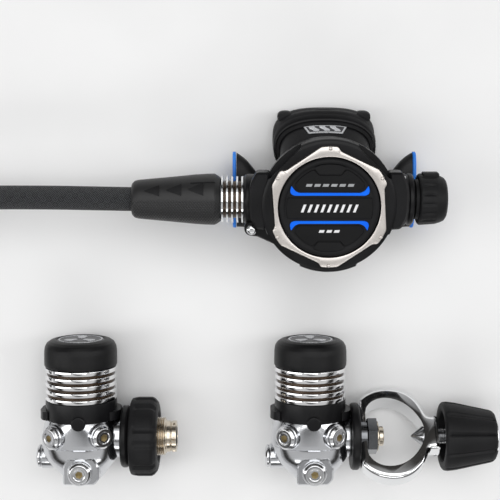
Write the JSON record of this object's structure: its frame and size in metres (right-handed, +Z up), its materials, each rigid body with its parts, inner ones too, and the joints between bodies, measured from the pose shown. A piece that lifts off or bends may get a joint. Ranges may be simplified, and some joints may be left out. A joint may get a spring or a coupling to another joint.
{
  "type": "scuba regulator set",
  "caption": "Scuba regulator set lying flat: braided-hose second stage with purge button and adjusting knob, a DIN first stage and a yoke first stage",
  "frame": {"origin": "on the table, at the middle of the set's footprint without the hose", "axes": "+X towards the adjusting knob, +Y towards the mouthpiece and the first stages' caps, +Z up from the table"},
  "size_m": [0.4983, 0.223, 0.0687],
  "materials": {
    "case_black": "moulded glossy black plastic with fine scratches",
    "soft_black": "matt black elastomer",
    "purge_black": "black purge face with fine texture",
    "collar_black": "black plastic rings",
    "ring_steel": "brushed warm stainless steel",
    "chrome_bright": "bright polished chrome on brass",
    "chrome_satin": "satin pearl chrome on brass",
    "nickel_warm": "champagne nickel",
    "spring_steel": "drawn spring steel and dark screw steel",
    "valve_brass": "machined brass",
    "trim_blue": "blue moulded plastic",
    "badge_silver": "silver badge plate",
    "hose_braid": "black braided nylon over rubber hose"
  },
  "bodies": {
    "second_stage": {"case": "case_black", "front_cover": "case_black", "face_ring": "ring_steel", "cover_lock_pin": "chrome_bright", "top_badge": "badge_silver", "diaphragm": "soft_black", "valve_barrel": "chrome_bright", "orifice": "valve_brass", "heat_exchanger": "chrome_bright", "exhaust_valve": "soft_black", "exhaust_tee": "soft_black", "tee_trim_left": "trim_blue", "tee_trim_right": "trim_blue", "mouthpiece": "soft_black", "mouthpiece_strap": "case_black", "purge_spring": "spring_steel", "poppet_spring": "spring_steel", "hose_nut": "chrome_bright", "hose_sleeve": "soft_black", "hose_run": "hose_braid", "hose_coil": "hose_braid", "end_fitting": "chrome_bright"},
    "purge": {"purge_button": "purge_black", "strip_upper": "trim_blue", "strip_lower": "trim_blue"},
    "plate": {"diaphragm_plate": "chrome_bright"},
    "lever": {"demand_lever": "chrome_bright"},
    "demand_poppet": {"poppet": "valve_brass"},
    "knob": {"adjust_knob": "soft_black", "knob_spindle": "chrome_bright"},
    "vane": {"venturi_vane": "case_black"},
    "din_stage": {"din_body": "chrome_satin", "din_shroud": "collar_black", "din_spring_housing": "chrome_bright", "din_cap": "soft_black", "din_plug_upper_left": "chrome_satin", "din_plug_upper_right": "chrome_satin", "din_plug_front": "chrome_satin", "din_plug_side": "chrome_satin", "din_main_spring": "spring_steel", "din_ring": "collar_black"},
    "din_valve": {"din_poppet": "valve_brass"},
    "din_hand_wheel": {"din_wheel": "soft_black", "din_stud": "nickel_warm"},
    "yoke_stage": {"yoke_body": "chrome_satin", "yoke_shroud": "collar_black", "yoke_spring_housing": "chrome_bright", "yoke_cap": "soft_black", "yoke_plug_upper_left": "chrome_satin", "yoke_plug_upper_right": "chrome_satin", "yoke_plug_front": "chrome_satin", "yoke_plug_side": "chrome_satin", "yoke_main_spring": "spring_steel", "yoke_ring": "collar_black", "yoke_retainer": "chrome_bright"},
    "yoke_valve": {"yoke_poppet": "valve_brass"},
    "yoke_loop": {"yoke_clamp": "chrome_bright"},
    "yoke_screw": {"yoke_screw": "spring_steel"},
    "yoke_hand_knob": {"yoke_knob": "soft_black"}
  },
  "joints": [
    {"name": "purge_press", "type": "slide", "parent": "second_stage", "child": "purge", "axis": [0, 0.1564, -0.9877], "range_m": [0, 0.0025], "stiffness_N_per_m": 600, "springref_m": -0.002, "deforming": ["purge_spring", "diaphragm"]},
    {"name": "plate_sink", "type": "slide", "parent": "second_stage", "child": "plate", "axis": [0, 0.1564, -0.9877], "range_m": [0, 0.0026]},
    {"name": "lever_swing", "type": "hinge", "parent": "second_stage", "child": "lever", "pos_m": [0.0404, 0.0571, 0.0466], "axis": [0, -0.9877, -0.1564], "range_deg": [0, 8.6]},
    {"name": "poppet_open", "type": "slide", "parent": "second_stage", "child": "demand_poppet", "axis": [1, 0, 0], "range_m": [0, 0.0006], "deforming": ["poppet_spring"]},
    {"name": "knob_turn", "type": "hinge", "parent": "second_stage", "child": "knob", "pos_m": [0.0944, 0.05825, 0.03929], "axis": [-1, 0, 0], "range_deg": [0, 270]},
    {"name": "vane_turn", "type": "hinge", "parent": "second_stage", "child": "vane", "pos_m": [0.0264, 0.05825, 0.03929], "axis": [-1, 0, 0], "range_deg": [0, 68]},
    {"name": "din_lift", "type": "slide", "parent": "second_stage", "child": "din_stage", "axis": [0, 0, 1], "range_m": [0, 0.12]},
    {"name": "din_valve_open", "type": "slide", "parent": "din_stage", "child": "din_valve", "axis": [0, -1, 0], "range_m": [0, 0.0008], "stiffness_N_per_m": 3000, "springref_m": -0.001, "deforming": ["din_main_spring"]},
    {"name": "din_wheel_turn", "type": "hinge", "parent": "din_stage", "child": "din_hand_wheel", "pos_m": [-0.0706, -0.085, 0.0246], "axis": [1, 0, 0], "continuous": true},
    {"name": "yoke_lift", "type": "slide", "parent": "second_stage", "child": "yoke_stage", "axis": [0, 0, 1], "range_m": [0, 0.12]},
    {"name": "yoke_valve_open", "type": "slide", "parent": "yoke_stage", "child": "yoke_valve", "axis": [0, -1, 0], "range_m": [0, 0.0008], "stiffness_N_per_m": 3000, "springref_m": -0.001, "deforming": ["yoke_main_spring"]},
    {"name": "yoke_swivel", "type": "hinge", "parent": "yoke_stage", "child": "yoke_loop", "pos_m": [0.0574, -0.085, 0.0246], "axis": [1, 0, 0], "range_deg": [-180, 180]},
    {"name": "yoke_screw_travel", "type": "slide", "parent": "yoke_loop", "child": "yoke_screw", "axis": [-1, 0, 0], "range_m": [0, 0.0081]},
    {"name": "yoke_knob_turn", "type": "hinge", "parent": "yoke_screw", "child": "yoke_hand_knob", "pos_m": [0.1164, -0.085, 0.0246], "axis": [-1, 0, 0], "range_deg": [0, 1920]}
  ],
  "couplings": [
    {"joint": "plate_sink", "follows": "purge_press", "ratio": 1},
    {"joint": "lever_swing", "follows": "purge_press", "rad_per_m": 58.824},
    {"joint": "poppet_open", "follows": "purge_press", "ratio": 0.22941},
    {"joint": "vane_turn", "follows": "knob_turn", "ratio": 0.25},
    {"joint": "yoke_screw_travel", "follows": "yoke_knob_turn", "m_per_rad": 0.00023873}
  ]
}
